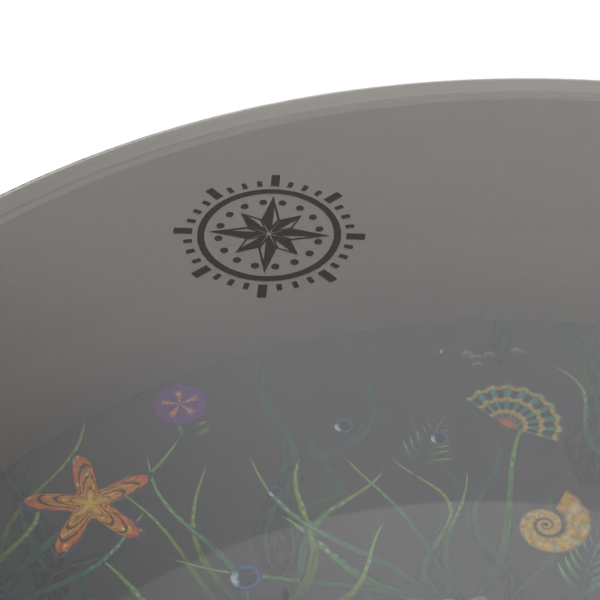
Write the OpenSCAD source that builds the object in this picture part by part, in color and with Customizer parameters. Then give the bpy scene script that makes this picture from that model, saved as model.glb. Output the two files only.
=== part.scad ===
// Ocean drum: a shallow wound-fibre hoop with a film head glued over each bearing edge,
// a printed wrap round the side, and loose steel beads that roll between the two heads.
// Z runs up the drum's axis and starts at the lower playing face. The beads have
// gathered against the wall on the -Y side.

/* [Shell] */
// Outer diameter of the bare shell
shell_d = 304.8; // [290:0.2:320]
// Thickness of the shell wall
shell_wall = 6.35; // [6:0.05:9]
// Height of the shell between its two bearing edges
shell_h = 62.8; // [50:0.2:80]
// Radius of the rounded outer corner of each bearing edge
edge_r = 2; // [1:0.25:2.5]
// Width of the chamfer on the inner corner of each bearing edge
edge_chamfer = 1.5; // [0.5:0.25:2]

/* [Heads] */
// Thickness of the head film
film_t = 0.25; // [0.2:0.05:0.4]
// Thickness of the glue between the shell and a head
glue_t = 0.1; // [0.05:0.05:0.2]
// Width of the glue that squeezes out past the inner side of the bearing edge
glue_squeeze = 0.9; // [0.3:0.1:1.2]
// Depth of the collar that each head turns down over the shell
collar_h = 12; // [8:0.5:16]

/* [Wrap] */
// Thickness of the printed wrap
wrap_t = 0.75; // [0.4:0.05:1.2]
// Distance from each playing face to the edge of the wrap
wrap_inset = 1.6; // [1:0.2:4]
// Width of the open butt seam in the wrap
seam_w = 0.6; // [0.3:0.1:1.5]
// Direction of the seam, turned from +X
seam_angle = -52; // [-180:1:180]
// Gap between a head's collar and the wrap
wrap_gap = 0.1; // [0.05:0.05:0.3]
// Gap on each side of the adhesive that backs the wrap between the collars
bond_gap = 0.05; // [0.02:0.01:0.05]
// Distance from the adhesive to each collar
bond_inset = 1; // [0.5:0.25:3]

/* [Beads] */
// Diameter of a steel bead
bead_d = 4.4; // [3.5:0.1:5]
// Least gap between two beads
bead_gap = 0.3; // [0.2:0.05:0.5]
// Gap between a bead and the lower head
bead_seat = 0.2; // [0.1:0.05:0.4]
// Gap between a bead and the shell's inner wall
bead_side_gap = 0.4; // [0.3:0.05:1]
// How far the gathered beads reach in from the wall
pile_depth = 38; // [30:1:46]
// How much further in the loose beads ahead of the others have rolled, at most
stray_reach = 34; // [10:1:60]

/* [Hidden] */
// Beads that roll side by side share a lane, and each lane rolls across by itself
lane_count = 12;
lane_names = [for (lane = [1:lane_count]) str("bead_lane_", lane < 10 ? "0" : "", lane)];

// Facets of a round shape and of a bead, and steps in the arc of a section
$fn = 128;
bead_fn = 32;
arc_steps = 8;
// Length by which a cut runs past what it cuts
overrun = 1;

// Heights
shell_z = film_t + glue_t;
total_h = shell_h + 2 * shell_z;
mid_z = total_h / 2;

// Radii, from the bore outwards
shell_r = shell_d / 2;
bore_r = shell_r - shell_wall;
land_in_r = bore_r + edge_chamfer;
land_out_r = shell_r - edge_r;
collar_in_r = shell_r + glue_t;
collar_r = collar_in_r + film_t;
wrap_in_r = collar_r + wrap_gap;
wrap_r = wrap_in_r + wrap_t;

// The bead field: the farthest that a bead's centre gets from the axis, the chord that the
// gathered beads fill, and the lanes and columns that share it
run_r = bore_r - bead_side_gap - bead_d / 2;
front_y = pile_depth - run_r;
field_w = 2 * sqrt(run_r * run_r - front_y * front_y);
lane_w = field_w / lane_count;
loose_share = 1.16;
column_count = max(1, floor(lane_w / (bead_d * loose_share)));
column_pitch = lane_w / column_count;
row_pitch = bead_d * loose_share;
// What is left of each pitch lets a bead sit a little out of line
sway_x = (column_pitch - bead_d - bead_gap) / 2;
sway_y = max(0, (row_pitch - bead_d - bead_gap) / 2);
// Share of the columns that have a loose bead ahead of the others
stray_share = 0.55;

// Evenly spread values from 0 to 1 that look random and never change
function scatter(i, j) = let (s = 43758.5453 * sin(127.1 * i + 311.7 * j)) s - floor(s);

// Columns are counted across the whole field, from -X to +X
function column_x(i) = (i + 0.5) * column_pitch - field_w / 2;
function wall_y(i) = -sqrt(run_r * run_r - pow(abs(column_x(i)) + sway_x, 2));
function pile_front(i) = front_y + row_pitch * (1.6 * scatter(i, 5) - 0.8);
function rows(i) = max(1, 1 + floor((pile_front(i) - wall_y(i)) / row_pitch));
function row_y(i, j) = wall_y(i) + sway_y * (1 + scatter(i, j + 40)) + j * row_pitch;
function has_stray(i) = scatter(i, 7) < stray_share;
function stray_y(i) = row_y(i, rows(i)) + stray_reach * pow(scatter(i, 9), 2);
function last_y(i) = has_stray(i) ? stray_y(i) : row_y(i, rows(i) - 1);
function sway(i, j) = sway_x * (2 * scatter(i, j + 80) - 1);

// A lane stops when the first of its columns reaches the far wall
function column_travel(i) = -wall_y(i) - last_y(i);
function lane_travel(lane) = min([for (c = [0:column_count - 1]) column_travel(lane * column_count + c)]);
echo(lane_travel = [for (lane = [0:lane_count - 1]) lane_travel(lane)]);
echo(bead_count = [for (i = [0:lane_count * column_count - 1]) rows(i) + (has_stray(i) ? 1 : 0)]);

// Points along an arc, for the round stretches of a section
function arc(centre, r, from, to) = [
    for (k = [0:arc_steps]) let (a = from + (to - from) * k / arc_steps) centre + r * [cos(a), sin(a)]
];

// The shell's section about its middle: rounded outside, flat lands, chamfered inside
module shell_section() {
    top = shell_h / 2;
    polygon(concat(
        arc([land_out_r, top - edge_r], edge_r, 0, 90),
        [[land_in_r, top], [bore_r, top - edge_chamfer]],
        [[bore_r, edge_chamfer - top], [land_in_r, -top]],
        arc([land_out_r, edge_r - top], edge_r, -90, 0)
    ));
}

// The head's section with its playing face at zero height: flat film, a bent shoulder and a collar
module head_section() {
    shoulder_r = edge_r + glue_t + film_t;
    shoulder = [land_out_r, -shoulder_r];
    polygon(concat(
        [[0, 0]],
        arc(shoulder, shoulder_r, 90, 0),
        [[collar_r, -collar_h], [collar_in_r, -collar_h]],
        arc(shoulder, shoulder_r - film_t, 0, 90),
        [[0, -film_t]]
    ));
}

// The glue on one bearing edge, with the lip that squeezed out under the film
module glue_section() {
    polygon([
        [land_in_r, 0],
        [land_out_r, 0],
        [land_out_r, glue_t],
        [land_in_r - glue_squeeze, glue_t]
    ]);
}

module shell() {
    color("saddlebrown") translate([0, 0, mid_z]) rotate_extrude() shell_section();
}

module top_head() {
    color("lightcyan", 0.4) translate([0, 0, total_h]) rotate_extrude() head_section();
}

module bottom_head() {
    color("midnightblue") mirror([0, 0, 1]) rotate_extrude() head_section();
}

module top_glue_line() {
    color("tan") translate([0, 0, shell_z + shell_h]) rotate_extrude() glue_section();
}

module bottom_glue_line() {
    color("tan") translate([0, 0, shell_z]) mirror([0, 0, 1]) rotate_extrude() glue_section();
}

module ring(inner_r, outer_r, height) {
    difference() {
        cylinder(r = outer_r, h = height);
        translate([0, 0, -overrun]) cylinder(r = inner_r, h = height + 2 * overrun);
    }
}

module wrap() {
    wrap_h = total_h - 2 * wrap_inset;
    color("darkslateblue") translate([0, 0, wrap_inset]) difference() {
        ring(wrap_in_r, wrap_r, wrap_h);
        rotate(seam_angle) translate([wrap_in_r - overrun, -seam_w / 2, -overrun]) {
            cube([wrap_t + 2 * overrun, seam_w, wrap_h + 2 * overrun]);
        }
    }
}

module wrap_adhesive() {
    low_z = collar_h + bond_inset;
    color("wheat") translate([0, 0, low_z]) {
        ring(shell_r + bond_gap, wrap_in_r - bond_gap, total_h - 2 * low_z);
    }
}

module bead(x, y) {
    translate([x, y, film_t + bead_seat + bead_d / 2]) sphere(d = bead_d, $fn = bead_fn);
}

module bead_lane(lane) {
    color("silver") for (c = [0:column_count - 1]) {
        i = lane * column_count + c;
        for (j = [0:rows(i) - 1]) {
            bead(column_x(i) + sway(i, j), row_y(i, j));
        }
        if (has_stray(i)) {
            bead(column_x(i) + sway(i, rows(i)), stray_y(i));
        }
    }
}

shell();
top_head();
bottom_head();
top_glue_line();
bottom_glue_line();
wrap();
wrap_adhesive();
for (lane = [0:lane_count - 1]) {
    bead_lane(lane);
}
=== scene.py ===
import math
import random

import bmesh
import bpy
from mathutils import Matrix, Vector


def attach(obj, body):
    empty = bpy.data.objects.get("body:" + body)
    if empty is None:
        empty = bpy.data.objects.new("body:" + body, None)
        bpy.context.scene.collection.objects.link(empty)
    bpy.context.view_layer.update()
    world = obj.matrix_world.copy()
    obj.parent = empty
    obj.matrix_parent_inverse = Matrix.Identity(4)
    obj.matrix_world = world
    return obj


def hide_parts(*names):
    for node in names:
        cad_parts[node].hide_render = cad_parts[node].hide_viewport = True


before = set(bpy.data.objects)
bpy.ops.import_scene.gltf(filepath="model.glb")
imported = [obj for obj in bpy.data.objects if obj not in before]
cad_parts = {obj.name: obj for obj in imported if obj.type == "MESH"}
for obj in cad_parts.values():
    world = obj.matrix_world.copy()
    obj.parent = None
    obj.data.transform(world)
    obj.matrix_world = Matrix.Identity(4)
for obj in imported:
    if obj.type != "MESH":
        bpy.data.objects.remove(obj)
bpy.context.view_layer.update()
print("frame loaded")

mm = 0.001
fullTurn = 2 * math.pi

# the drum's main sizes, in mm, as in the CAD model
drum = {
    "height": 63.5,
    "shellRadius": 152.4,
    "wall": 6.35,
    "edgeRound": 2.0,
    "edgeChamfer": 1.5,
    "film": 0.25,
    "glue": 0.1,
    "collar": 12.0,
    # steps round a turned shape
    "steps": 360,
    # where the bend of film and glue leaves the flat, in degrees up from level
    "bendStart": 84,
    # points nearer than this are one, and edges sharper than this stay sharp
    "weld": 1e-4,
    "sharp": 35,
}
boreRadius = drum["shellRadius"] - drum["wall"]
landIn = boreRadius + drum["edgeChamfer"]
landOut = drum["shellRadius"] - drum["edgeRound"]
shellLow = drum["film"] + drum["glue"]
shellHigh = drum["height"] - shellLow
collarIn = drum["shellRadius"] + drum["glue"]
collarOut = collarIn + drum["film"]


# helpers for materials

def addNode(tree, kind, inputs=None, **settings):
    node = tree.nodes.new("ShaderNode" + kind)
    for name, value in settings.items():
        setattr(node, name, value)
    for socket, value in (inputs or {}).items():
        if isinstance(value, bpy.types.NodeSocket):
            tree.links.new(value, node.inputs[socket])
        else:
            node.inputs[socket].default_value = value
    return node


def follow(kind, inputs, **settings):
    # adds the node to the tree that its linked inputs come from
    tree = next(value.id_data for value in inputs.values() if isinstance(value, bpy.types.NodeSocket))
    return addNode(tree, kind, inputs, **settings)


def feed(node, socket, value):
    node.id_data.links.new(value, node.inputs[socket])


def calc(operation, a, b=0.0, c=0.0):
    return follow("Math", {0: a, 1: b, 2: c}, operation=operation).outputs[0]


def wave(value, times, shift=0.0):
    return calc("SINE", calc("MULTIPLY_ADD", value, times * fullTurn, shift))


def awayFrom(value, middle):
    return calc("ABSOLUTE", calc("SUBTRACT", value, middle))


def fade(value, low, high, toLow=0.0, toHigh=1.0):
    limits = {"From Min": low, "From Max": high, "To Min": toLow, "To Max": toHigh}
    return follow("MapRange", {"Value": value, **limits}, interpolation_type="SMOOTHSTEP").outputs["Result"]


def mixColour(factor, a, b, blend="MIX"):
    a, b = [colour if isinstance(colour, bpy.types.NodeSocket) else (*colour, 1) for colour in (a, b)]
    return follow("Mix", {0: factor, 6: a, 7: b}, data_type="RGBA", blend_type=blend).outputs[2]


def lay(under, over, value, low, high, most=1.0):
    # one colour over another, where the value has passed from low to high
    return mixColour(fade(value, low, high, 0.0, most), under, over)


def coat(under, layer, value):
    # a layer is a colour, the values where it starts and is full, and its greatest share
    colour, *limits = layer
    return lay(under, colour, value, *limits)


def coatBoth(under, layer, first, second):
    # a layer that needs both values, with the limits of each after its colour
    colour, firstLimits, secondLimits = layer
    both = calc("MULTIPLY", fade(first, *firstLimits), fade(second, *secondLimits))
    return mixColour(both, under, colour)


def dimmed(colour, level):
    grey = follow("CombineXYZ", {0: level, 1: level, 2: level}).outputs[0]
    return mixColour(1.0, colour, grey, "MULTIPLY")


def ramp(value, stops):
    node = follow("ValToRGB", {0: value})
    band = node.color_ramp
    while len(band.elements) < len(stops):
        band.elements.new(1.0)
    for element, (position, colour) in zip(band.elements, stops):
        element.position = position
        element.color = (*colour, 1)
    return node.outputs[0]


def stretch(parts, scales):
    # a vector of two or three values, each times its own scale
    scaled = [calc("MULTIPLY", part, scale) for part, scale in zip(parts, scales)]
    return follow("CombineXYZ", dict(enumerate(scaled))).outputs[0]


def noise(vector, scale, detail=3.0, roughness=0.5, distortion=0.0):
    look = {"Scale": scale, "Detail": detail, "Roughness": roughness, "Distortion": distortion}
    return follow("TexNoise", {"Vector": vector, **look}).outputs[0]


def cells(vector):
    return follow("TexVoronoi", {"Vector": vector, "Scale": 1.0}).outputs["Distance"]


def bump(shader, height, distance, strength):
    made = follow("Bump", {"Height": height, "Distance": distance, "Strength": strength})
    feed(shader, "Normal", made.outputs[0])


def startMaterial(name, look):
    # plain values first, and what is linked later takes over from them
    material = bpy.data.materials.new(name)
    material.use_nodes = True
    tree = material.node_tree
    shader = tree.nodes["Principled BSDF"]
    for socket, value in look.items():
        shader.inputs[socket].default_value = value
    return material, tree, shader


def objectPlace(tree):
    return addNode(tree, "TexCoord").outputs["Object"]


def ringSpace(tree):
    # object coordinates, with the distance from the drum's axis as well
    place = objectPlace(tree)
    x, y, z = follow("SeparateXYZ", {0: place}).outputs
    flat = follow("CombineXYZ", {0: x, 1: y, 2: 0.0}).outputs[0]
    radius = follow("VectorMath", {0: flat}, operation="LENGTH").outputs["Value"]
    return place, x, y, z, radius


def cloudedMaterial(name, plain, clouds, colours):
    # the colour follows one noise, which bump or gloss may follow as well
    material, tree, shader = startMaterial(name, plain)
    level = noise(objectPlace(tree), *clouds)
    feed(shader, "Base Color", ramp(level, colours))
    return material, shader, level


# helpers for shapes

def addObject(name, data):
    made = bpy.data.objects.new(name, data)
    bpy.context.collection.objects.link(made)
    return made


def finishMesh(name, mesh, *materials):
    for face in mesh.faces:
        face.smooth = True
    for edge in mesh.edges:
        if len(edge.link_faces) == 2 and edge.calc_face_angle(0) > math.radians(drum["sharp"]):
            edge.smooth = False
    data = bpy.data.meshes.new(name)
    mesh.to_mesh(data)
    mesh.free()
    for material in materials:
        data.materials.append(material)
    return addObject(name, data)


def arc(centre, radius, start, end, steps=10):
    angles = [math.radians(start + (end - start) * k / steps) for k in range(steps + 1)]
    return [(centre[0] + radius * math.cos(a), centre[1] + radius * math.sin(a)) for a in angles]


def polar(reach, angle):
    return reach * math.cos(angle), reach * math.sin(angle)


def rotated(x, y, angle):
    return x * math.cos(angle) - y * math.sin(angle), x * math.sin(angle) + y * math.cos(angle)


def spun(section, turn=360.0, start=0.0, closed=True):
    # a section in mm, given as (radius, height), turned about the drum's axis
    mesh = bmesh.new()
    first = Matrix.Rotation(math.radians(start), 3, "Z")
    line = [mesh.verts.new(first @ Vector((r * mm, 0, z * mm))) for r, z in section]
    if closed:
        line.append(line[0])
    edges = [mesh.edges.new(pair) for pair in zip(line, line[1:])]
    whole = turn == 360.0
    bmesh.ops.spin(mesh, geom=line[:len(section)] + edges, cent=(0, 0, 0), axis=(0, 0, 1),
                   angle=math.radians(turn), steps=round(drum["steps"] * turn / 360), use_merge=whole)
    bmesh.ops.remove_doubles(mesh, verts=mesh.verts, dist=drum["weld"] * mm)
    if not whole:
        bmesh.ops.holes_fill(mesh, edges=[edge for edge in mesh.edges if edge.is_boundary], sides=0)
    bmesh.ops.recalc_face_normals(mesh, faces=mesh.faces)
    return mesh


def lift(section, height, flip=False):
    return [(r, height - z if flip else height + z) for r, z in section]


def thicken(mesh, rise):
    # flat faces get the thickness of ink
    raised = bmesh.ops.extrude_face_region(mesh, geom=mesh.faces[:], use_keep_orig=True)["geom"]
    bmesh.ops.translate(mesh, verts=[part for part in raised if isinstance(part, bmesh.types.BMVert)],
                        vec=(0, 0, rise))


# camera, fitted to the drum's outline and rim in the photograph

camera = {
    "place": (-0.04378, -0.11836, 0.24519),
    "pitch": 41.92, "roll": -0.62,
    "lens": 94.56, "sensor": 36, "nearest": 0.01,
}


def placeCamera():
    lens = bpy.data.cameras.new("camera")
    lens.lens = camera["lens"]
    lens.sensor_width = camera["sensor"]
    lens.clip_start = camera["nearest"]
    pitch, roll = math.radians(camera["pitch"]), math.radians(camera["roll"])
    ahead = Vector((0, math.cos(pitch), -math.sin(pitch)))
    level, upright = Vector((1, 0, 0)), Vector((0, math.sin(pitch), math.cos(pitch)))
    right = level * math.cos(roll) + upright * math.sin(roll)
    up = upright * math.cos(roll) - level * math.sin(roll)
    turned = Matrix((right, up, -ahead)).transposed().to_4x4()
    holder = addObject("camera", lens)
    holder.matrix_world = Matrix.Translation(camera["place"]) @ turned
    bpy.context.scene.camera = holder


# light and floor

studio = {
    "white": (1, 1, 1, 1),
    "ambient": 0.46,
    # a dimmer patch of the surroundings, for what the film mirrors: azimuth and height in degrees
    "dimAzimuth": -42.0, "dimHeight": 56.0, "dimEdge": 0.88, "dimLevel": 0.36,
    "floorGrey": (0.78, 0.78, 0.78, 1),
    "floorGlow": 0.38,
    "farGlow": 0.72,
    "glowReach": (0.35, 1.2),
    "floorSize": 4,
    "floorDrop": 0.0002,
    "aim": (0, 0, 0.03),
    # name, place in m, side in m, power in W
    "lamps": (
        ("keyLamp", (-0.75, -0.85, 1.25), 0.9, 15.5),
        ("fillLamp", (1.1, -0.5, 1.0), 1.1, 2.0),
        ("sideLamp", (1.25, 0.75, 0.9), 0.9, 2.5),
    ),
}


def seenDirectly(tree):
    # 1 for rays from the camera and from gloss or glass, 0 for light on the object
    rays = addNode(tree, "LightPath").outputs
    some = calc("MAXIMUM", rays["Is Camera Ray"], rays["Is Glossy Ray"])
    return calc("MAXIMUM", some, rays["Is Transmission Ray"])


def makeWorld():
    scene = bpy.context.scene
    scene.view_settings.view_transform = "Standard"
    world = bpy.data.worlds.new("studio")
    scene.world = world
    world.use_nodes = True
    tree = world.node_tree
    tree.nodes.clear()
    azimuth, height = math.radians(studio["dimAzimuth"]), math.radians(studio["dimHeight"])
    dim = (math.sin(azimuth) * math.cos(height), math.cos(azimuth) * math.cos(height), math.sin(height))
    direction = addNode(tree, "TexCoord").outputs["Generated"]
    facing = follow("VectorMath", {0: direction, 1: dim}, operation="DOT_PRODUCT").outputs["Value"]
    mirrored = calc("SUBTRACT", 1.0, addNode(tree, "LightPath").outputs["Is Camera Ray"])
    patch = fade(facing, studio["dimEdge"], 1.0, 0.0, 1 - studio["dimLevel"])
    strength = calc("SUBTRACT", 1.0, calc("MULTIPLY", patch, mirrored))
    white = follow("Background", {"Color": studio["white"], "Strength": strength})
    ambient = addNode(tree, "Background", {"Color": studio["white"], "Strength": studio["ambient"]})
    mixed = follow("MixShader", {0: seenDirectly(tree), 1: ambient.outputs[0], 2: white.outputs[0]})
    follow("OutputWorld", {"Surface": mixed.outputs[0]})


def makeLamps():
    for name, place, side, power in studio["lamps"]:
        lamp = bpy.data.lights.new(name, "AREA")
        lamp.size = side
        lamp.energy = power
        holder = addObject(name, lamp)
        holder.location = place
        holder.rotation_euler = (Vector(studio["aim"]) - Vector(place)).to_track_quat("-Z", "Y").to_euler()


def makeFloor():
    mesh = bmesh.new()
    bmesh.ops.create_grid(mesh, x_segments=1, y_segments=1, size=studio["floorSize"])
    bmesh.ops.translate(mesh, verts=mesh.verts, vec=(0, 0, -studio["floorDrop"]))
    look = {"Base Color": studio["floorGrey"], "Roughness": 0.9, "Specular IOR Level": 0.1}
    material, tree, shader = startMaterial("paleFloor", look)
    # the far floor gets little light, so it glows more there and meets the white background
    glowing = fade(ringSpace(tree)[4], *studio["glowReach"], studio["floorGlow"], studio["farGlow"])
    glow = follow("Emission", {"Strength": calc("MULTIPLY", seenDirectly(tree), glowing)})
    both = follow("AddShader", {0: shader.outputs[0], 1: glow.outputs[0]})
    feed(tree.nodes["Material Output"], "Surface", both.outputs[0])
    floor = finishMesh("floor", mesh, material)


# the fibre shell

shellLook = {
    "wall": (0.158, 0.112, 0.099),
    "wallDark": (0.116, 0.080, 0.070),
    "wallShare": (0.2, 0.8, 0.2, 0.8),
    "plyShare": (0.42, 0.6, 0.15),
    "fleck": ((0.23, 0.19, 0.16), 0.22, 0.08, 0.3),
    "cloud": ((0.10, 0.075, 0.07), 0.3, 0.75, 0.3),
    # painted shade: the wall darkens towards the printed head, where less light reaches its foot
    "low": ((0.068, 0.062, 0.056), 26 * mm, 0.0, 0.85),
    "cut": ((0.134, 0.117, 0.106), 0.3, 0.7),
    "cutDark": (0.103, 0.089, 0.081),
    # the chamfer is darker at its foot
    "cutFoot": (0.094, 0.082, 0.075),
    "footWidth": 0.8,
    "cutStart": 0.01,
    "roughness": 0.62,
    # how often the grain repeats along x, along y and across the hoop, in 1/m
    "streaks": (9.0, 9.0, 420.0),
    "plies": (3.0, 3.0, 95.0),
    "flecks": (160.0, 160.0, 900.0),
    "clouds": 22.0,
    "cloudRoughness": (0.2, 0.8, 0.5, 0.72),
    "fleckRelief": 0.4,
    # height and strength of the bump
    "relief": (0.00008, 0.6),
    "wallRings": 4,
}


def fibreMaterial():
    material, tree, shader = startMaterial("woundFibre", {"Roughness": shellLook["roughness"]})
    place, x, y, z, radius = ringSpace(tree)
    # streaks run round the hoop, on the walls and on the cut edges alike
    hoop = (x, y, calc("ADD", z, radius))
    streaks = noise(stretch(hoop, shellLook["streaks"]), 1.0, 5.0, 0.6)
    plies = noise(stretch(hoop, shellLook["plies"]), 1.0, 2.0)
    flecks = cells(stretch(hoop, shellLook["flecks"]))
    clouds = noise(place, shellLook["clouds"], 4.0, 0.55)
    wall = mixColour(fade(streaks, *shellLook["wallShare"]), shellLook["wallDark"], shellLook["wall"])
    wall = lay(wall, shellLook["wallDark"], plies, *shellLook["plyShare"])
    # the last coat is painted shade at the wall's foot, by the printed head
    for name, value in (("fleck", flecks), ("cloud", clouds), ("low", z)):
        wall = coat(wall, shellLook[name], value)
    cut = coat(shellLook["cutDark"], shellLook["cut"], streaks)
    footEnd = (boreRadius + shellLook["footWidth"]) * mm
    cut = lay(shellLook["cutFoot"], cut, radius, boreRadius * mm, footEnd)
    onEdge = calc("GREATER_THAN", radius, (boreRadius + shellLook["cutStart"]) * mm)
    feed(shader, "Base Color", mixColour(onEdge, wall, cut))
    feed(shader, "Roughness", fade(clouds, *shellLook["cloudRoughness"]))
    grain = calc("ADD", streaks, calc("MULTIPLY", flecks, shellLook["fleckRelief"]))
    bump(shader, grain, *shellLook["relief"])
    return material


def makeShell():
    top = (shellHigh - shellLow) / 2
    rings = shellLook["wallRings"]
    half = arc((landOut, top - drum["edgeRound"]), drum["edgeRound"], 0, 90)
    half += [(landIn, top), (boreRadius, top - drum["edgeChamfer"])]
    middle = [(boreRadius, top * k / rings) for k in range(rings - 1, -rings, -1)]
    section = half + middle + [(r, -z) for r, z in reversed(half)]
    piece = finishMesh("fibreShell", spun(lift(section, drum["height"] / 2)), fibreMaterial())
    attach(piece, "drum")
    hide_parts("shell")


# glue

glueLook = {
    "squeeze": 0.9,
    "lipWidth": 0.35,
    # the lip's colour ends and is full at these shares of its width
    "lipShares": (1.6, 0.8),
    "wets": 0.004,
    "collarEnd": -11.6,
    # the fillet's hollow front, as shares inwards and down
    "filletShares": ((0.3, 0.6), (0.75, 0.25)),
    "paleFillet": 0.75,
    "darkFillet": 1.4,
    # colours of the flat, of its darker streaks and of the lip
    "pale": ((0.315, 0.292, 0.260), (0.272, 0.250, 0.222), (0.288, 0.266, 0.239)),
    "dark": ((0.142, 0.128, 0.118), (0.116, 0.104, 0.096), (0.148, 0.133, 0.123)),
    # painted shade: the glue is darker towards -X, where less light falls on it: from, to and the share of
    # light at each
    "shadedSide": (-105 * mm, -30 * mm, 0.66, 1.0),
    "plain": {"Roughness": 0.45, "Specular IOR Level": 0.1},
    "streakShare": (0.3, 0.7),
    "patchShare": (0.35, 0.7, 0.35),
    "patchRoughness": (0.3, 0.7, 0.25, 0.5),
    "streaks": (12.0, 12.0, 900.0),
    "patches": 60.0,
    "relief": (0.00003, 0.5),
}


def glueMaterial(name, colours):
    flatPale, flatDark, lip = colours
    material, tree, shader = startMaterial(name, glueLook["plain"])
    place, x, y, _, radius = ringSpace(tree)
    streaks = noise(stretch((x, y, radius), glueLook["streaks"]), 1.0, 4.0, 0.6)
    patches = noise(place, glueLook["patches"])
    flat = lay(flatDark, flatPale, streaks, *glueLook["streakShare"])
    flat = lay(flat, flatDark, patches, *glueLook["patchShare"])
    inner = landIn - glueLook["squeeze"]
    lipEnd, lipFull = [(inner + glueLook["lipWidth"] * share) * mm for share in glueLook["lipShares"]]
    body = lay(flat, lip, radius, lipEnd, lipFull)
    # painted shade darkens the glue towards -X
    feed(shader, "Base Color", dimmed(body, fade(x, *glueLook["shadedSide"])))
    feed(shader, "Roughness", fade(patches, *glueLook["patchRoughness"]))
    bump(shader, patches, *glueLook["relief"])
    return material


def glueSection(fillet):
    # it fills the space under the film, over the edge and down the collar, and wets the film
    lip, full = landIn - glueLook["squeeze"], drum["glue"] + glueLook["wets"]
    bend, end = drum["edgeRound"], glueLook["collarEnd"]
    centre = (landOut, -bend)
    section = [(lip, full), (landOut, full)] + arc(centre, bend + full, drum["bendStart"], 0)
    section += [(drum["shellRadius"] + full, end), (drum["shellRadius"], end)] + arc(centre, bend, 0, 90)
    # the fillet that squeezed out between the film and the chamfer
    foot = landIn - fillet
    front = [(foot + (lip - foot) * inwards, -fillet * down) for inwards, down in glueLook["filletShares"]]
    return section + [(landIn, 0), (foot, -fillet)] + front


def makeGlue():
    for name, node, height, flip, look in (("topGlue", "top_glue_line", shellHigh, False, "pale"),
                                           ("bottomGlue", "bottom_glue_line", shellLow, True, "dark")):
        section = lift(glueSection(glueLook[look + "Fillet"]), height, flip)
        piece = finishMesh(name, spun(section), glueMaterial(look + "Glue", glueLook[look]))
        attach(piece, "drum")
        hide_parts(node)


# the two film heads

headLook = {
    "film": {"Base Color": (0.985, 0.985, 0.98, 1), "Roughness": 0.015, "IOR": 1.64,
             "Transmission Weight": 1.0},
    # share of the light that each face of the film lets through
    "passes": (0.93, 0.93, 0.93, 1),
    "haze": (9.0, 4.0, 0.6),
    "hazeRoughness": (0.35, 0.75, 0.008, 0.03),
    # depth that the ink takes on the clear film and on the printed one
    "inkRoom": 0.02,
    "printRoom": 0.04,
    # painted reflection: the print is paler towards the wall, standing in for the lit wall mirrored in the
    # glossy print
    "pale": ((0.055, 0.050, 0.056), 118 * mm, 144 * mm, 0.75),
    "rings": (0, 6, 20, 45, 75, 100, 120, 135, 145, 149),
}


def headSection(room):
    # the playing face at height 0, lowered by the room that the ink on it takes
    bend = drum["edgeRound"] + drum["glue"] + drum["film"]
    centre = (landOut, -bend)
    rings = headLook["rings"]
    outer = [(r, -room) for r in rings] + [(landOut, -room)] + arc(centre, bend, drum["bendStart"], 0)
    inner = arc(centre, bend - drum["film"], 0, 90) + [(r, -drum["film"]) for r in reversed(rings)]
    return outer + [(collarOut, -drum["collar"]), (collarIn, -drum["collar"])] + inner


def clearFilmMaterial():
    material, tree, shader = startMaterial("clearFilm", headLook["film"])
    haze = noise(objectPlace(tree), *headLook["haze"])
    feed(shader, "Roughness", fade(haze, *headLook["hazeRoughness"]))
    # light on the print and the wall goes straight through
    rays = addNode(tree, "LightPath").outputs
    lit = calc("MAXIMUM", rays["Is Shadow Ray"], rays["Is Diffuse Ray"])
    clear = addNode(tree, "BsdfTransparent", {"Color": headLook["passes"]})
    mixed = follow("MixShader", {0: lit, 1: shader.outputs[0], 2: clear.outputs[0]})
    feed(tree.nodes["Material Output"], "Surface", mixed.outputs[0])
    return material


# grounds of the two prints, and how glossy each print is
printLook = {
    "ior": 1.58,
    "night": (0.020, 0.022, 0.030),
    "gloss": 0.04,
    "wrapGloss": 0.28,
    # scale, detail, roughness and distortion of each cloud
    "deepClouds": (14.0, 5.0, 0.6, 0.6),
    "tealClouds": (7.0, 3.0, 0.5, 0.3),
    "plumClouds": (8.0, 3.0, 0.5, 0.3),
    "plumShift": (3.1, 1.7, 0.4),
    "brush": (1.0, 4.0, 0.6),
    "brushTurn": (0, 0, 0.6),
    "brushScale": (60, 500, 60),
    # where in its clouds each colour starts and is full, and its greatest share
    "shares": {"deep": (0.3, 0.7), "teal": (0.48, 0.72, 0.9), "plum": (0.5, 0.74, 0.9),
               "light": (0.45, 0.75, 0.3)},
}
night = printLook["night"]
headGround = {
    "night": (0.033, 0.035, 0.040),
    "deep": (0.034, 0.038, 0.045),
    "teal": (0.026, 0.048, 0.049),
    "plum": (0.046, 0.034, 0.050),
    "light": (0.048, 0.058, 0.066),
}
wrapGround = {
    "night": (0.006, 0.012, 0.026),
    "deep": (0.008, 0.026, 0.050),
    "teal": (0.006, 0.060, 0.062),
    "plum": (0.040, 0.016, 0.060),
    "light": (0.030, 0.080, 0.095),
}


def printGround(name, roughness, ground):
    material, tree, shader = startMaterial(name, {"Roughness": roughness, "IOR": printLook["ior"]})
    place = objectPlace(tree)
    shifted = follow("Mapping", {"Vector": place, "Location": printLook["plumShift"]}).outputs[0]
    brushed = follow("Mapping", {"Vector": place, "Rotation": printLook["brushTurn"],
                                 "Scale": printLook["brushScale"]}).outputs[0]
    deepClouds = noise(place, *printLook["deepClouds"])
    tealClouds = noise(place, *printLook["tealClouds"])
    plumClouds = noise(shifted, *printLook["plumClouds"])
    brush = noise(brushed, *printLook["brush"])
    colour = ground["night"]
    for name, value in (("deep", deepClouds), ("teal", tealClouds), ("plum", plumClouds), ("light", brush)):
        colour = lay(colour, ground[name], value, *printLook["shares"][name])
    feed(shader, "Base Color", colour)
    return material, tree, shader, colour


def makeClearHead():
    section = lift(headSection(headLook["inkRoom"]), drum["height"])
    top = finishMesh("clearHead", spun(section, closed=False), clearFilmMaterial())
    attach(top, "drum")
    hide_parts("top_head")


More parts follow.
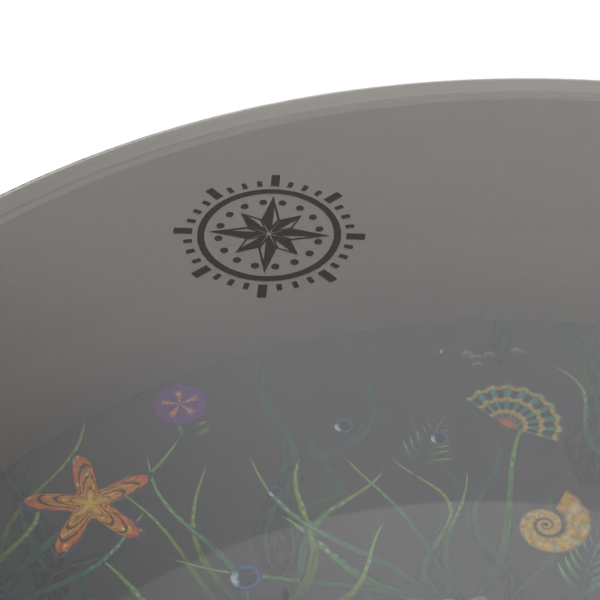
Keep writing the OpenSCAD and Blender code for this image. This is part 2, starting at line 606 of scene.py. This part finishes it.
def makePrintedHead():
    flipped = [(r, -z) for r, z in headSection(headLook["printRoom"])]
    material, tree, shader, painted = printGround("printedFilm", printLook["gloss"], headGround)
    # painted reflection: the print is lightened near the wall
    feed(shader, "Base Color", coat(painted, headLook["pale"], ringSpace(tree)[4]))
    bottom = finishMesh("printedHead", spun(flipped, closed=False), material)
    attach(bottom, "drum")
    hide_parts("bottom_head")


# the printed wrap and its adhesive

wrapLook = {
    "inner": 152.85, "outer": 153.6, "inset": 1.6,
    "seam": 0.6, "seamAngle": -52.0,
    "round": 0.15, "roundSteps": 4,
    "printRoom": 0.04,
    "rings": 6,
    # the print's colours run over the wrap's cut edges
    "edgeColours": ((0.0, (0.01, 0.01, 0.015)), (0.40, (0.012, 0.015, 0.02)), (0.46, (0.05, 0.16, 0.05)),
                    (0.52, (0.30, 0.33, 0.08)), (0.58, (0.50, 0.22, 0.05)), (0.66, (0.16, 0.06, 0.18)),
                    (0.8, (0.012, 0.012, 0.016))),
    "edgeBand": (0.5, 0.12),
    "specks": (420.0, 2.0),
    "grain": (900.0, 2.0),
    "relief": (0.00002, 0.4),
}


def wrapMaterial():
    material, tree, shader, ground = printGround("seaWrap", printLook["wrapGloss"], wrapGround)
    place, _, _, z, _ = ringSpace(tree)
    colours = ramp(noise(place, *wrapLook["specks"]), wrapLook["edgeColours"])
    half = drum["height"] / 2 - wrapLook["inset"]
    start, full = [(half - width) * mm for width in wrapLook["edgeBand"]]
    fromMiddle = awayFrom(z, drum["height"] / 2 * mm)
    feed(shader, "Base Color", lay(ground, colours, fromMiddle, start, full))
    bump(shader, noise(place, *wrapLook["grain"]), *wrapLook["relief"])
    return material


def makeWrap():
    inner, outer = wrapLook["inner"], wrapLook["outer"] - wrapLook["printRoom"]
    low, high, bend = wrapLook["inset"], drum["height"] - wrapLook["inset"], wrapLook["round"]
    heights = [low + (high - low) * k / wrapLook["rings"] for k in range(1, wrapLook["rings"])]
    steps = wrapLook["roundSteps"]
    section = [(inner, low)] + arc((outer - bend, low + bend), bend, -90, 0, steps)
    section += [(outer, z) for z in heights] + arc((outer - bend, high - bend), bend, 0, 90, steps)
    section += [(inner, high)]
    slot = math.degrees(wrapLook["seam"] / wrapLook["outer"])
    sleeve = spun(section, 360 - slot, wrapLook["seamAngle"] + slot / 2)
    piece = finishMesh("seaWrap", sleeve, wrapMaterial())
    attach(piece, "drum")
    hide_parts("wrap")


adhesiveLook = {
    "inner": 152.45, "outer": 152.8, "low": 13.0,
    "plain": {"Roughness": 0.5},
    "strings": (120.0, 4.0, 0.6, 1.0),
    "colours": ((0.3, (0.5, 0.45, 0.36)), (0.7, (0.72, 0.68, 0.58))),
    "relief": (0.00005, 0.5),
}


def makeAdhesive():
    inner, outer = adhesiveLook["inner"], adhesiveLook["outer"]
    low, high = adhesiveLook["low"], drum["height"] - adhesiveLook["low"]
    material, shader, strings = cloudedMaterial(
        "adhesiveSheet", adhesiveLook["plain"], adhesiveLook["strings"], adhesiveLook["colours"])
    bump(shader, strings, *adhesiveLook["relief"])
    sheet = spun([(inner, low), (outer, low), (outer, high), (inner, high)])
    piece = finishMesh("wrapAdhesive", sheet, material)
    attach(piece, "drum")
    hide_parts("wrap_adhesive")


# shapes of the print's motifs, in mm, over a unit square

def starfish(size, arms=5, waist=0.3, curl=0.25, taper=1.6):
    def shape(out, around):
        angle = around * fullTurn
        arm = (0.5 + 0.5 * math.cos(arms * angle)) ** taper
        return polar(size * out * (waist + (1 - waist) * arm), angle + curl * out * out)
    return shape


def disc(size):
    return lambda out, around: polar(size * out, around * fullTurn)


def scallop(size, ribs=9, fan=2.7, bulge=0.18, flare=0.9, ripple=0.03, drop=0.45):
    def shape(out, across):
        spread = (across - 0.5) * fan
        rounded = 1 - bulge + bulge * math.cos(spread * flare)
        rippled = 1 + ripple * math.cos(ribs * fullTurn * across)
        x, y = polar(size * out * rounded * rippled, math.pi / 2 + spread)
        return x, y - size * drop
    return shape


def whorl(size, turns=2.7, growth=0.165):
    def shape(along, across):
        back = (along - 1) * turns * fullTurn
        outer = size * math.exp(growth * back)
        inner = outer * math.exp(-growth * fullTurn)
        return polar(inner + (outer - inner) * across, back)
    return shape


def blade(length, width, sway, waves, phase, tip=0.6, root=0.45, widening=3):
    def shape(along, across):
        bend = sway * (math.sin(waves * fullTurn * along + phase) - math.sin(phase))
        half = width * (1 - along) ** tip * min(1, root + widening * along)
        return length * along, bend + (across - 0.5) * 2 * half
    return shape


def pebble(size, chance, swells=(0.03, 0.12), waves=(2, 3, 5), flat=0.72):
    lobes = [(chance.uniform(*swells), number, chance.uniform(*inkLook["phases"])) for number in waves]

    def shape(out, around):
        angle = around * fullTurn
        reach = 1 + sum(swell * math.sin(number * angle + phase) for swell, number, phase in lobes)
        x, y = polar(size * out * reach, angle)
        return x, y * flat
    return shape


def turned(shape, shift, angle):
    def moved(along, across):
        x, y = rotated(*shape(along, across), math.radians(angle))
        return shift[0] + x, shift[1] + y
    return moved


# ink: every motif is a thin patch with its own paint coordinates and tint

inkLook = {
    "thick": 0.008,
    "layer": 0.012,
    "headReach": 146.9,
    # patches that come nearer than "apart", measured at their parts, get heights of their own
    "apart": 6.0, "heights": 16, "parts": 8,
    "goldenAngle": 2.399963,
    "phases": (0, 6.28),
    "upright": 90,
    "bubbleTurn": (0, 90),
    "strokes": 0.55,
    "greens": ((0.05, 0.15, 0.05), (0.03, 0.13, 0.10), (0.14, 0.20, 0.03), (0.07, 0.20, 0.12)),
    "dimGreens": ((0.026, 0.066, 0.048), (0.024, 0.060, 0.066), (0.042, 0.072, 0.038), (0.036, 0.042, 0.066)),
    "warm": ((0.52, 0.18, 0.02), (0.48, 0.27, 0.03), (0.44, 0.07, 0.03)),
    "cool": ((0.03, 0.10, 0.22), (0.04, 0.18, 0.16), (0.12, 0.05, 0.20)),
    "stones": ((0.10, 0.085, 0.07), (0.05, 0.075, 0.08), (0.085, 0.055, 0.085), (0.13, 0.105, 0.05)),
}


def inkPatch(canvas, finish, segments, shape, place, tint):
    patch = bmesh.new()
    paint = patch.loops.layers.uv.new("paint")
    hue = patch.loops.layers.float_color.new("tint")
    bmesh.ops.create_grid(patch, x_segments=segments[0], y_segments=segments[1], size=0.5)
    bmesh.ops.translate(patch, verts=patch.verts, vec=(0.5, 0.5, 0))
    for face in patch.faces:
        face.material_index = list(finishes).index(finish)
        for loop in face.loops:
            loop[paint].uv = loop.vert.co.xy
            loop[hue] = (*tint, 1)
    for vert in patch.verts:
        vert.co = (*shape(vert.co.x, vert.co.y), 0)
    bmesh.ops.remove_doubles(patch, verts=patch.verts, dist=drum["weld"])
    thicken(patch, 1)
    for vert in patch.verts:
        vert.co = place(vert.co.x, vert.co.y, vert.co.z)
    bmesh.ops.recalc_face_normals(patch, faces=patch.faces)
    done = bpy.data.meshes.new("patch")
    patch.to_mesh(done)
    patch.free()
    canvas.from_mesh(done)
    bpy.data.meshes.remove(done)


def onHead(centre, turn, layer):
    turn = math.radians(turn)
    reach = inkLook["headReach"]

    def place(x, y, rise):
        x, y = rotated(x, y, turn)
        spot = Vector((centre[0] + x, centre[1] + y))
        if spot.length > reach:
            spot = spot.normalized() * reach
        height = drum["film"] + layer * inkLook["layer"] + rise * inkLook["thick"]
        return spot.x * mm, spot.y * mm, height * mm
    return place


def onWrap(centre, turn, layer):
    # the centre is an angle round the drum and a height
    turn = math.radians(turn)
    radius = wrapLook["outer"] - wrapLook["printRoom"]
    low = wrapLook["inset"] + wrapLook["round"]
    slot = wrapLook["seam"] / 2 / radius
    first = math.radians(wrapLook["seamAngle"])
    angle, height = math.radians(centre[0]), centre[1]

    def place(x, y, rise):
        x, y = rotated(x, y, turn)
        past = min(max((angle - first) % fullTurn + x / radius, slot), fullTurn - slot)
        z = min(max(height + y, low), drum["height"] - low)
        out = radius + layer * inkLook["layer"] + rise * inkLook["thick"]
        return out * math.cos(first + past) * mm, out * math.sin(first + past) * mm, z * mm
    return place


# paint of each motif, with u and v from 0 to 1 over its patch; layers are as coat and coatBoth take them

paintLook = {
    "grass": {"root": (0.015, 0.05, 0.045), "grown": (0.0, 0.75),
              "tip": ((0.20, 0.32, 0.09), 0.55, 0.95, 0.75), "edge": (night, 0.25, 0.5, 0.8),
              "dot": ((0.26, 0.42, 0.24), (0.42, 0.2, 0.0, 0.8), (0.45, 0.8)), "dots": (24, 1.2),
              "strokes": (16, 3)},
    "starfish": {"heart": (0.60, 0.40, 0.02), "grown": (0.0, 0.5),
                 "tip": ((0.50, 0.05, 0.02), 0.65, 1.0, 0.8), "bands": 4.5,
                 "band": ((0.012, 0.028, 0.03), (0.45, 0.85, 0.0, 0.9), (0.2, 0.34)),
                 "knob": ((0.62, 0.52, 0.16), 0.3, 0.16, 0.8), "knobs": (9, 45),
                 "rim": ((0.02, 0.06, 0.12), 0.86, 1.0, 0.9), "strokes": (5, 70)},
    "scallop": {"groove": (0.02, 0.03, 0.05), "ribs": (9, 1.57), "ribWidth": (-0.6, 0.7),
                "ring": ((0.50, 0.34, 0.06), 0.2, 0.9, 0.7), "rings": 3.5,
                "hinge": ((0.45, 0.10, 0.05), 0.35, 0.0), "rim": ((0.03, 0.12, 0.14), 0.93, 1.0, 0.8),
                "strokes": (6, 50)},
    "whorl": {"flame": ((0.40, 0.30, 0.12), 0.35, 0.95), "flames": 26, "slant": 0.9,
              "suture": (night, 0.26, 0.5, 0.95), "crest": 0.55, "strokes": (60, 4)},
    "bubble": {"inside": (0.01, 0.03, 0.05), "skin": (0.55, 0.86),
               "glint": ((0.35, 0.45, 0.48), (0.6, 0.95), (0.4, 0.7)), "glintShift": -0.9,
               "rim": (night, 0.9, 1.0), "strokes": (3, 12)},
    "dollar": {"petal": ((0.48, 0.20, 0.16), (0.25, 0.8), (0.7, 0.5)), "petals": 5,
               "ring": ((0.05, 0.03, 0.08), 0.3, 0.9, 0.4), "rings": 6,
               "rim": (night, 0.88, 1.0, 0.9), "strokes": (5, 60)},
    "kelp": {"grown": (0.0, 0.5), "midrib": ((0.06, 0.10, 0.08), 0.12, 0.02, 0.5),
             "edge": (night, 0.36, 0.5, 0.6), "strokes": (20, 4)},
    "pebble": {"lit": ((0.24, 0.24, 0.20), (-0.2, 0.9, 0.0, 0.6), (0.1, 0.6)),
               "rim": (night, 0.78, 1.0, 0.95), "strokes": (6, 14)},
}


def paintGrass(u, v, tint, look):
    # darker at the root and bright at the tip
    body = lay(look["root"], tint, u, *look["grown"])
    body = coat(body, look["tip"], u)
    body = coat(body, look["edge"], awayFrom(v, 0.5))
    return coatBoth(body, look["dot"], cells(stretch((u, v), look["dots"])), u)


def paintStarfish(u, v, tint, look):
    # dark bands and pale knobs
    body = lay(look["heart"], tint, u, *look["grown"])
    body = coat(body, look["tip"], u)
    body = coatBoth(body, look["band"], wave(u, look["bands"]), u)
    body = coat(body, look["knob"], cells(stretch((u, v), look["knobs"])))
    return coat(body, look["rim"], u)


def paintScallop(u, v, tint, look):
    # ribbed, with growth bands
    body = lay(look["groove"], tint, wave(v, *look["ribs"]), *look["ribWidth"])
    body = coat(body, look["ring"], wave(u, look["rings"]))
    body = coat(body, look["hinge"], u)
    return coat(body, look["rim"], u)


def paintWhorl(u, v, tint, look):
    # flame stripes and a dark suture
    slanted = calc("ADD", wave(u, look["flames"]), calc("MULTIPLY", v, look["slant"]))
    body = coat(tint, look["flame"], slanted)
    return coat(body, look["suture"], awayFrom(v, look["crest"]))


def paintBubble(u, v, tint, look):
    # a pale rim with a highlight
    body = lay(look["inside"], tint, u, *look["skin"])
    body = coatBoth(body, look["glint"], wave(v, 1, look["glintShift"]), u)
    return coat(body, look["rim"], u)


def paintDollar(u, v, tint, look):
    # five petals over faint rings
    body = coatBoth(tint, look["petal"], wave(v, look["petals"]), u)
    body = coat(body, look["ring"], wave(u, look["rings"]))
    return coat(body, look["rim"], u)


def paintKelp(u, v, tint, look):
    # far behind, dim, with a paler midrib
    vein = awayFrom(v, 0.5)
    body = lay(night, tint, u, *look["grown"])
    body = coat(body, look["midrib"], vein)
    return coat(body, look["edge"], vein)


def paintPebble(u, v, tint, look):
    # lit from above
    body = coatBoth(tint, look["lit"], wave(v, 1), u)
    return coat(body, look["rim"], u)


finishes = {
    "grass": paintGrass, "starfish": paintStarfish, "scallop": paintScallop, "whorl": paintWhorl,
    "bubble": paintBubble, "dollar": paintDollar, "kelp": paintKelp, "pebble": paintPebble,
}


def strokes(u, v, fine, colour):
    # brush strokes along the motif
    flow = noise(stretch((u, v), fine), 1.0, 4.0, 0.65)
    return dimmed(colour, fade(flow, 0.3, 0.7, 1 - inkLook["strokes"], 1.25))


def paintMaterials(prefix, roughness):
    made = []
    for kind, paint in finishes.items():
        look = paintLook[kind]
        plain = {"Roughness": roughness, "IOR": printLook["ior"]}
        material, tree, shader = startMaterial(prefix + kind.capitalize(), plain)
        u, v, _ = follow("SeparateXYZ", {0: addNode(tree, "UVMap", uv_map="paint").outputs[0]}).outputs
        tint = addNode(tree, "Attribute", attribute_name="tint").outputs["Color"]
        feed(shader, "Base Color", strokes(u, v, look["strokes"], paint(u, v, tint, look)))
        made.append(material)
    return made


# plants and pebbles of the print

grassLook = {
    "fan": 17, "turn": 5, "spread": 2,
    "length": (30, 62), "width": (0.9, 1.9), "sway": (1.5, 5), "waves": (0.7, 1.3),
    "grid": (22, 3), "layers": (0.35, 0.9),
}
kelpLook = {
    "blades": 3, "turn": 26, "spread": 3,
    "length": (38, 84), "width": (1.6, 3.4), "sway": (2, 5), "waves": (1.0, 2.2),
    "grid": (18, 3), "layers": (0, 0.3),
}
sprigLook = {
    "size": (13, 24),
    # shares of the size
    "bend": 0.4, "stemWidth": 0.04, "stemTaper": 1.2, "leafLength": 0.42, "leafTaper": 1.12,
    # shares of a leaf's length
    "leafWidth": 0.11, "leafSway": 0.1,
    "leaves": 16, "leafSpan": (0.2, 0.78), "lean": 46, "turn": 8,
    "stemGrid": (14, 2), "leafGrid": (6, 2), "stemLayer": 0.95, "leafLayers": (0.98, 0.03, 4),
}
pebbleLook = {
    "count": 5, "across": (-9, 9), "up": (-2.5, 2), "size": (1.2, 3.4), "turn": 15,
    "grid": (3, 14), "layers": (1.2, 0.06),
}


def eitherWay(chance, most):
    return chance.uniform(-most, most)


def anyBlade(chance, look, size):
    length, width, sway = [chance.uniform(*look[part]) * size for part in ("length", "width", "sway")]
    return blade(length, width, sway, chance.uniform(*look["waves"]), chance.uniform(*inkLook["phases"]))


def freeLayer(taken, shape, placeAt, low, high):
    # inks at one height would show as dark patches, so each takes the height farthest from its neighbours'
    place, steps, parts = placeAt(0), inkLook["heights"], inkLook["parts"]
    line = [Vector(place(*shape(part / parts, 0.5), 0)) for part in range(parts + 1)]
    near = [layer for spots, layer in taken
            if any((a - b).length < inkLook["apart"] * mm for a in line for b in spots)]
    options = [low + (high - low) * step / (steps - 1) for step in range(steps)]
    layer = max(options, key=lambda option: min([abs(option - other) for other in near] + [1]))
    taken.append((line, layer))
    return layer


def growBlade(canvas, taken, finish, look, shape, placeAt, tint):
    layer = freeLayer(taken, shape, placeAt, *look["layers"])
    inkPatch(canvas, finish, look["grid"], shape, placeAt(layer), tint)


def grass(canvas, chance, taken, root, direction, blades, placeFor, size=1.0):
    for number in range(blades):
        fan = (number - (blades - 1) / 2) * grassLook["fan"]
        turn = direction + fan + eitherWay(chance, grassLook["turn"])
        shape = anyBlade(chance, grassLook, size)
        start = [middle + eitherWay(chance, grassLook["spread"]) for middle in root]
        growBlade(canvas, taken, "grass", grassLook, shape, lambda layer: placeFor(start, turn, layer),
                  chance.choice(inkLook["greens"]))


def kelp(canvas, chance, taken, root, placeFor, size=1.0):
    for _ in range(kelpLook["blades"]):
        shape = anyBlade(chance, kelpLook, size)
        start = (root[0] + eitherWay(chance, kelpLook["spread"]), root[1])
        turn = inkLook["upright"] + eitherWay(chance, kelpLook["turn"])
        growBlade(canvas, taken, "kelp", kelpLook, shape, lambda layer: placeFor(start, turn, layer),
                  chance.choice(inkLook["dimGreens"]))


def sprig(canvas, chance, placeFor, root, direction, size):
    # a leafy stem, its leaves smaller towards the tip and each at its own height
    bend = eitherWay(chance, sprigLook["bend"]) * size
    tint = chance.choice(inkLook["greens"])

    def stem(along, across):
        half = size * sprigLook["stemWidth"] * (sprigLook["stemTaper"] - along)
        return size * along, bend * along * along + (across - 0.5) * half

    place = placeFor(root, direction, sprigLook["stemLayer"])
    inkPatch(canvas, "grass", sprigLook["stemGrid"], stem, place, tint)
    first, span = sprigLook["leafSpan"]
    layer, rise, layers = sprigLook["leafLayers"]
    for number in range(sprigLook["leaves"]):
        part = first + span * number / sprigLook["leaves"]
        length = size * sprigLook["leafLength"] * (sprigLook["leafTaper"] - part)
        lean = sprigLook["lean"] * (1 if number % 2 else -1) + eitherWay(chance, sprigLook["turn"])
        along = math.degrees(math.atan2(2 * bend * part, size))
        leaf = blade(length, length * sprigLook["leafWidth"], length * sprigLook["leafSway"], 0.5, 0)
        leaf = turned(leaf, (size * part, bend * part * part), along + lean)
        place = placeFor(root, direction, layer + rise * (number % layers))
        inkPatch(canvas, "grass", sprigLook["leafGrid"], leaf, place, tint)


def pebbles(canvas, chance, root, placeFor):
    layer, rise = pebbleLook["layers"]
    for number in range(pebbleLook["count"]):
        start = (root[0] + chance.uniform(*pebbleLook["across"]), root[1] + chance.uniform(*pebbleLook["up"]))
        shape = pebble(chance.uniform(*pebbleLook["size"]), chance)
        place = placeFor(start, eitherWay(chance, pebbleLook["turn"]), layer + rise * number)
        inkPatch(canvas, "pebble", pebbleLook["grid"], shape, place, chance.choice(inkLook["stones"]))


# what a motif is made of: its grid, and its shape for a size
motifs = {
    "starfish": ((6, 60), starfish),
    "scallop": ((6, 54), scallop),
    "whorl": ((72, 4), whorl),
    "bubble": ((4, 24), disc),
    "dollar": ((6, 40), disc),
}


def placeMotif(canvas, kind, size, place, tint):
    grid, shapeFor = motifs[kind]
    inkPatch(canvas, kind, grid, shapeFor(size), place, tint)


# the print on the lower head

headPrint = {
    "seed": 7,
    # number of clumps, reach, first angle, and how far the roots are moved down
    "kelp": (30, 132, 0.4, 22),
    # number of sprigs, reach, first angle, and how far they lean
    "sprigs": (22, 128, 2.0, 35),
    "motifLayer": 1.6,
    "bubbleLayer": 2.4,
    "bubbles": 70,
    "bubbleReach": 140,
    "bubbleSize": (1.2, 3.8),
    # kind, place, turn, size, colours, number of the colour
    "motifs": (
        ("starfish", (-87, 93), 20, 15, "warm", 0),
        ("scallop", (3, 118), -35, 13, "cool", 1),
        ("whorl", (5, 86), 60, 11, "warm", 1),
        ("dollar", (-70, 121), 10, 6.5, "cool", 2),
        ("starfish", (48, 74), 5, 22, "warm", 2),
        ("whorl", (84, 18), -40, 19, "cool", 1),
        ("scallop", (-10, 46), 150, 20, "warm", 1),
        ("starfish", (-92, 22), 40, 23, "warm", 1),
        ("whorl", (12, -12), 120, 21, "warm", 0),
        ("scallop", (-52, -22), 30, 17, "cool", 0),
        ("dollar", (50, 30), 0, 12, "cool", 2),
        ("starfish", (62, -46), 15, 21, "warm", 0),
        ("scallop", (112, -34), -70, 15, "warm", 2),
        ("dollar", (-108, -32), 0, 11, "cool", 0),
        ("whorl", (-42, -78), 200, 18, "cool", 1),
        ("starfish", (-2, -116), 33, 20, "warm", 1),
        ("scallop", (88, -96), 20, 15, "cool", 1),
        ("dollar", (-92, -92), 0, 10, "cool", 2),
    ),
    # roots of sea grass: place, direction, blades
    "grass": (
        ((-16, 66), 112, 7), ((-104, 66), 75, 5), ((28, 96), 75, 5), ((-52, 60), 98, 7), ((86, 52), 60, 6),
        ((-126, -8), 120, 5), ((20, 8), 95, 6), ((120, -2), 40, 5), ((-20, -46), 105, 6), ((40, -82), 80, 6),
        ((-76, -60), 130, 5), ((-30, -128), 110, 6), ((60, -128), 60, 5), ((-2, 134), 80, 4),
    ),
}


def goldenSpots(count, reach, first):
    # spread by the golden angle, so that no two clumps meet
    return [polar(reach * math.sqrt((number + 0.5) / count), number * inkLook["goldenAngle"] + first)
            for number in range(count)]


def headBubbles(canvas, chance):
    reach = headPrint["bubbleReach"]
    taken = [(motif[1], motif[3]) for motif in headPrint["motifs"]]
    while len(taken) < len(headPrint["motifs"]) + headPrint["bubbles"]:
        centre = (eitherWay(chance, reach), eitherWay(chance, reach))
        size = chance.uniform(*headPrint["bubbleSize"])
        room = min(math.dist(centre, spot) - around for spot, around in taken)
        if math.hypot(*centre) < reach and room > size:
            place = onHead(centre, chance.uniform(*inkLook["bubbleTurn"]), headPrint["bubbleLayer"])
            placeMotif(canvas, "bubble", size, place, chance.choice(inkLook["cool"][:2]))
            taken.append((centre, size))


def printHeads(materials):
    chance = random.Random(headPrint["seed"])
    canvas = bmesh.new()
    plants = []
    *spread, down = headPrint["kelp"]
    for x, y in goldenSpots(*spread):
        kelp(canvas, chance, plants, (x, y - down), onHead)
    for root, direction, blades in headPrint["grass"]:
        grass(canvas, chance, plants, root, direction, blades, onHead)
        pebbles(canvas, chance, root, onHead)
    *spread, lean = headPrint["sprigs"]
    for root in goldenSpots(*spread):
        direction = inkLook["upright"] + eitherWay(chance, lean)
        sprig(canvas, chance, onHead, root, direction, chance.uniform(*sprigLook["size"]))
    for kind, centre, turn, size, colours, number in headPrint["motifs"]:
        place = onHead(centre, turn, headPrint["motifLayer"])
        placeMotif(canvas, kind, size, place, inkLook[colours][number])
    headBubbles(canvas, chance)
    # the same picture shows on the playing face, right through the film
    below = canvas.copy()
    bmesh.ops.scale(below, verts=below.verts, vec=(1, 1, -1))
    bmesh.ops.translate(below, verts=below.verts, vec=(0, 0, (drum["film"] + headLook["printRoom"]) * mm))
    bmesh.ops.reverse_faces(below, faces=below.faces)
    for name, side in (("headPrint", canvas), ("underPrint", below)):
        piece = finishMesh(name, side, *materials)
        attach(piece, "drum")


# the print on the wrap, all of it placed by angle and height

wrapPrint = {
    "seed": 11,
    # number, most that the angle is off, height of the roots, size
    "kelp": (44, 3, 2, 0.8),
    "grass": (26, 3, 2, (0.7, 1.0)),
    "blades": 4,
    "pebbleHeight": 3.2,
    # number, most that the angle is off, heights, most lean
    "sprigs": (20, 4, (2, 8), 20),
    # number, most that the angle is off, heights, sizes
    "motifs": (21, 3, (18, 46), (9, 15)),
    "kinds": ("starfish", "scallop", "whorl", "dollar", "starfish", "whorl", "scallop"),
    "dollarShare": 0.75,
    "coolEach": 4,
    "motifLayer": 1.6,
    # five degrees apart, which is more than two bubbles wide
    "bubbles": (72, 1, (10, 56), (1.0, 2.8)),
    "bubbleLayer": 2.4,
}


def wrapPlants(canvas, chance):
    plants = []
    count, off, height, size = wrapPrint["kelp"]
    for step in range(count):
        kelp(canvas, chance, plants, (step * 360 / count + eitherWay(chance, off), height), onWrap, size)
    count, off, height, sizes = wrapPrint["grass"]
    for step in range(count):
        angle = step * 360 / count + eitherWay(chance, off)
        size = chance.uniform(*sizes)
        grass(canvas, chance, plants, (angle, height), inkLook["upright"], wrapPrint["blades"], onWrap, size)
        pebbles(canvas, chance, (angle, wrapPrint["pebbleHeight"]), onWrap)
    count, off, heights, lean = wrapPrint["sprigs"]
    for step in range(count):
        root = (step * 360 / count + eitherWay(chance, off), chance.uniform(*heights))
        direction = inkLook["upright"] + eitherWay(chance, lean)
        sprig(canvas, chance, onWrap, root, direction, chance.uniform(*sprigLook["size"]))


def wrapMotifs(canvas, chance):
    count, off, heights, sizes = wrapPrint["motifs"]
    for step in range(count):
        kind = wrapPrint["kinds"][step % len(wrapPrint["kinds"])]
        size = chance.uniform(*sizes) * (wrapPrint["dollarShare"] if kind == "dollar" else 1.0)
        colours = "cool" if kind == "dollar" or step % wrapPrint["coolEach"] == 1 else "warm"
        centre = (step * 360 / count + eitherWay(chance, off), chance.uniform(*heights))
        place = onWrap(centre, chance.uniform(0, 360), wrapPrint["motifLayer"])
        placeMotif(canvas, kind, size, place, chance.choice(inkLook[colours]))
    count, off, heights, sizes = wrapPrint["bubbles"]
    for step in range(count):
        centre = (step * 360 / count + eitherWay(chance, off), chance.uniform(*heights))
        place = onWrap(centre, chance.uniform(*inkLook["bubbleTurn"]), wrapPrint["bubbleLayer"])
        placeMotif(canvas, "bubble", chance.uniform(*sizes), place, chance.choice(inkLook["cool"][:2]))


def printWrap(materials):
    chance = random.Random(wrapPrint["seed"])
    canvas = bmesh.new()
    wrapPlants(canvas, chance)
    wrapMotifs(canvas, chance)
    piece = finishMesh("wrapPrint", canvas, *materials)
    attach(piece, "drum")


# the compass mark on the clear head

compass = {
    "centre": (-49.25, 102.12), "turn": -4.0,
    "ring": 12.4, "ringSteps": 120, "line": 1.3,
    "points": 8,
    "longPoint": 11.0, "shortPoint": 8.0,
    "waist": 4.4, "hub": 0.35,
    "outline": 0.42, "shortOutline": 0.336,
    "ticks": 32, "longEach": 4,
    "tick": (14.0, 15.6), "tickWidth": 0.95,
    "longTick": (14.0, 17.4), "longTickWidth": 1.615,
    # number, distance, radius and sides of the dots
    "dots": (16, 9.2, 0.75, 20),
    "thick": 0.014,
    "plain": {"Roughness": 0.5, "Specular IOR Level": 0.3},
    "grain": (900.0, 3.0, 0.6),
    "colours": ((0.3, (0.010, 0.008, 0.006)), (0.7, (0.020, 0.016, 0.012))),
    "relief": (0.00001, 0.5),
}


def inkRing(mesh):
    half = compass["line"] / 2
    line = [mesh.verts.new((compass["ring"] + side * half, 0, 0)) for side in (-1, 1)]
    edge = mesh.edges.new(line)
    bmesh.ops.spin(mesh, geom=line + [edge], cent=(0, 0, 0), axis=(0, 0, 1), angle=fullTurn,
                   steps=compass["ringSteps"], use_merge=True)


def inkPoint(mesh, number):
    # each point of the star has a filled half and an outlined half
    short = number % 2 == 1
    angle = fullTurn * number / compass["points"]
    centre, tip = polar(compass["hub"], angle), polar(compass["shortPoint" if short else "longPoint"], angle)
    first, second = [polar(compass["waist"], angle + side * math.pi / compass["points"]) for side in (-1, 1)]
    mesh.faces.new([mesh.verts.new((*spot, 0)) for spot in (centre, tip, second)])
    outlined = mesh.faces.new([mesh.verts.new((*spot, 0)) for spot in (first, tip, centre)])
    # the inset works across the normal
    outlined.normal_update()
    bmesh.ops.inset_region(mesh, faces=[outlined], thickness=compass["shortOutline" if short else "outline"],
                           use_even_offset=True, use_boundary=True)
    bmesh.ops.delete(mesh, geom=[outlined], context="FACES_ONLY")


def inkDots(mesh):
    count, distance, radius, sides = compass["dots"]
    for number in range(count):
        made = bmesh.ops.create_circle(mesh, cap_ends=True, segments=sides, radius=radius)["verts"]
        bmesh.ops.translate(mesh, verts=made, vec=(*polar(distance, fullTurn * (number + 0.5) / count), 0))


def inkTick(mesh, number):
    long = number % compass["longEach"] == 0
    inner, outer = compass["longTick" if long else "tick"]
    width = compass["longTickWidth" if long else "tickWidth"]
    made = bmesh.ops.create_grid(mesh, x_segments=1, y_segments=1, size=0.5)["verts"]
    bmesh.ops.scale(mesh, verts=made, vec=(outer - inner, width, 1))
    bmesh.ops.translate(mesh, verts=made, vec=((outer + inner) / 2, 0, 0))
    around = Matrix.Rotation(fullTurn * number / compass["ticks"], 3, "Z")
    bmesh.ops.rotate(mesh, verts=made, cent=(0, 0, 0), matrix=around)


def markMaterial():
    material, shader, grain = cloudedMaterial(
        "markInk", compass["plain"], compass["grain"], compass["colours"])
    bump(shader, grain, *compass["relief"])
    return material


def makeCompass():
    mesh = bmesh.new()
    inkRing(mesh)
    for number in range(compass["points"]):
        inkPoint(mesh, number)
    inkDots(mesh)
    for number in range(compass["ticks"]):
        inkTick(mesh, number)
    bmesh.ops.remove_doubles(mesh, verts=mesh.verts, dist=drum["weld"])
    thicken(mesh, compass["thick"])
    bmesh.ops.rotate(mesh, verts=mesh.verts, cent=(0, 0, 0),
                     matrix=Matrix.Rotation(math.radians(compass["turn"]), 3, "Z"))
    place = (*compass["centre"], drum["height"] - headLook["inkRoom"])
    bmesh.ops.translate(mesh, verts=mesh.verts, vec=place)
    bmesh.ops.scale(mesh, verts=mesh.verts, vec=(mm, mm, mm))
    bmesh.ops.recalc_face_normals(mesh, faces=mesh.faces)
    piece = finishMesh("compassMark", mesh, markMaterial())
    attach(piece, "drum")


# steel beads

beadLook = {
    "plain": {"Metallic": 1.0, "Roughness": 0.14},
    "smudges": (260.0, 3.0, 0.6),
    "colours": ((0.3, (0.60, 0.59, 0.58)), (0.65, (0.74, 0.735, 0.72))),
    "smudgeRoughness": (0.3, 0.75, 0.08, 0.26),
}


def polishBeads():
    material, shader, smudges = cloudedMaterial(
        "polishedSteel", beadLook["plain"], beadLook["smudges"], beadLook["colours"])
    feed(shader, "Roughness", fade(smudges, *beadLook["smudgeRoughness"]))
    for name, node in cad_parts.items():
        if name.startswith("bead_lane"):
            node.data.materials.clear()
            node.data.materials.append(material)


placeCamera()
makeWorld()
makeLamps()
makeFloor()
print("camera and studio set")
makeShell()
makeGlue()
print("shell and glue made")
makeClearHead()
makePrintedHead()
makeWrap()
makeAdhesive()
polishBeads()
print("heads, wrap and beads made")
printHeads(paintMaterials("head", printLook["gloss"]))
printWrap(paintMaterials("wrap", printLook["wrapGloss"]))
makeCompass()
print("prints and mark made")
